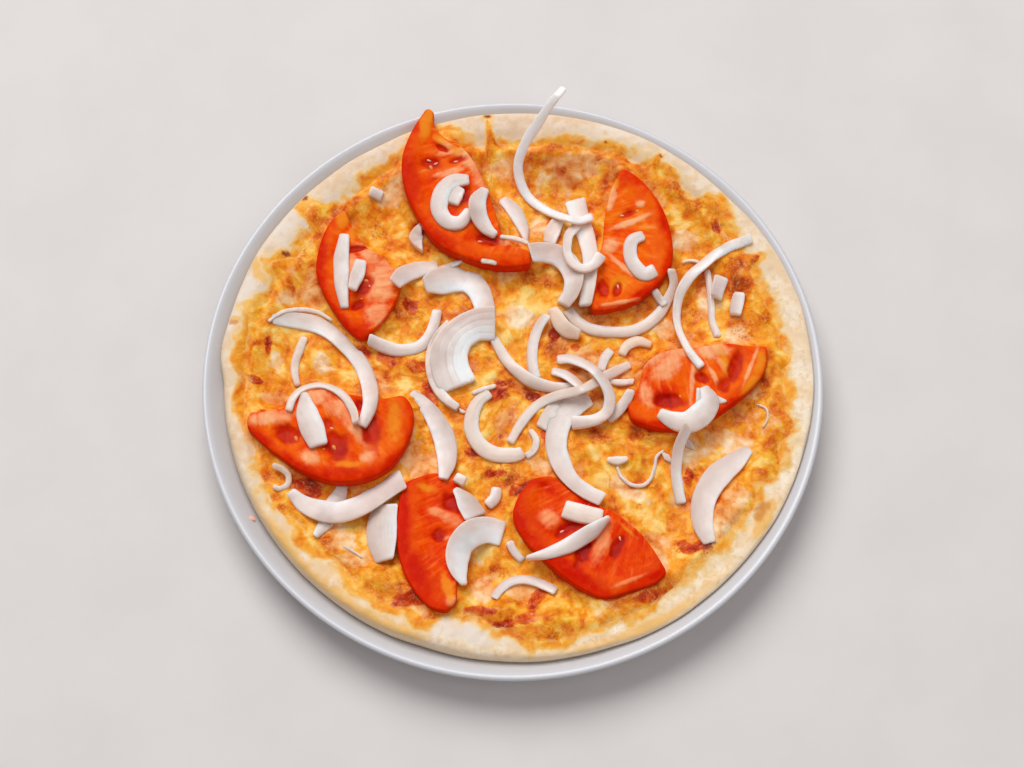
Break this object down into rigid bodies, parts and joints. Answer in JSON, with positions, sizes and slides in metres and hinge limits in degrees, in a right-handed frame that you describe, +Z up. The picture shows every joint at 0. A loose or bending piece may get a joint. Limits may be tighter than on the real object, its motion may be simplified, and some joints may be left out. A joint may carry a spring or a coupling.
{
  "type": "pizza on a plate",
  "caption": "Round baked pizza with a pale risen rim, melted cheese, tomato half slices and onion strips, in a shallow white plate.",
  "frame": {"origin": "centre of the plate on the surface that it stands on", "axes": "+Z up, +Y towards the far side of the plate as pictured, +X to the right"},
  "size_m": [0.31, 0.31, 0.0568],
  "materials": {
    "white_glaze": "smooth glossy white glaze over porcelain",
    "baked_dough": "baked bread crust, dry and floury, pale cream with golden patches; a food, standing in as matte",
    "melted_cheese": "melted browned cheese over red sauce, oily and uneven; a food, standing in as matte",
    "tomato": "wet baked tomato flesh with shiny skin; a food, standing in as gloss",
    "onion": "moist translucent white onion; a food, standing in as gloss"
  },
  "bodies": {
    "root": {"plate": "white_glaze", "dough": "baked_dough", "cheese_topping": "melted_cheese", "tomato_upper_left": "tomato", "tomato_left_upper": "tomato", "tomato_left_lower": "tomato", "tomato_upper_right": "tomato", "tomato_bottom_left": "tomato", "tomato_bottom": "tomato", "tomato_right": "tomato", "onion_petal_top": "onion", "onion_fork_top": "onion", "onion_hook_top": "onion", "onion_long_top": "onion", "onion_curl_upper_left": "onion", "onion_bow_upper_left": "onion", "onion_drop_upper_left": "onion", "onion_cube_upper_left": "onion", "onion_hook_on_tomato": "onion", "onion_half_ring_upper_right": "onion", "onion_stub_middle": "onion", "onion_sliver_right": "onion", "onion_block_right": "onion", "onion_bean_right": "onion", "onion_long_right": "onion", "onion_strip_on_tomato": "onion", "onion_chip_on_tomato": "onion", "onion_end_upper": "onion", "onion_broad_arc": "onion", "onion_bow_middle_left": "onion", "onion_layered_half_ring": "onion", "onion_short_bow": "onion", "onion_bow_middle": "onion", "onion_stub_middle_right": "onion", "onion_petal_arc": "onion", "onion_edge_right": "onion", "onion_stub_right": "onion", "onion_half_ring_middle": "onion", "onion_long_strip_middle": "onion", "onion_half_ring_right": "onion", "onion_pink_arc": "onion", "onion_crescent_middle_left": "onion", "onion_thin_strip_left": "onion", "onion_wedge_on_tomato": "onion", "onion_big_arc_left": "onion", "onion_thin_arc_left": "onion", "onion_hook_left": "onion", "onion_slip_lower_left": "onion", "onion_petal_lower_left": "onion", "onion_big_arc_lower_left": "onion", "onion_petal_bottom": "onion", "onion_knob_bottom": "onion", "onion_curl_bottom": "onion", "onion_stick_bottom": "onion", "onion_block_bottom": "onion", "onion_crescent_bottom": "onion", "onion_arc_bottom": "onion", "onion_crescent_right": "onion", "onion_saddle_right": "onion", "onion_strip_right": "onion"}
  },
  "joints": []
}
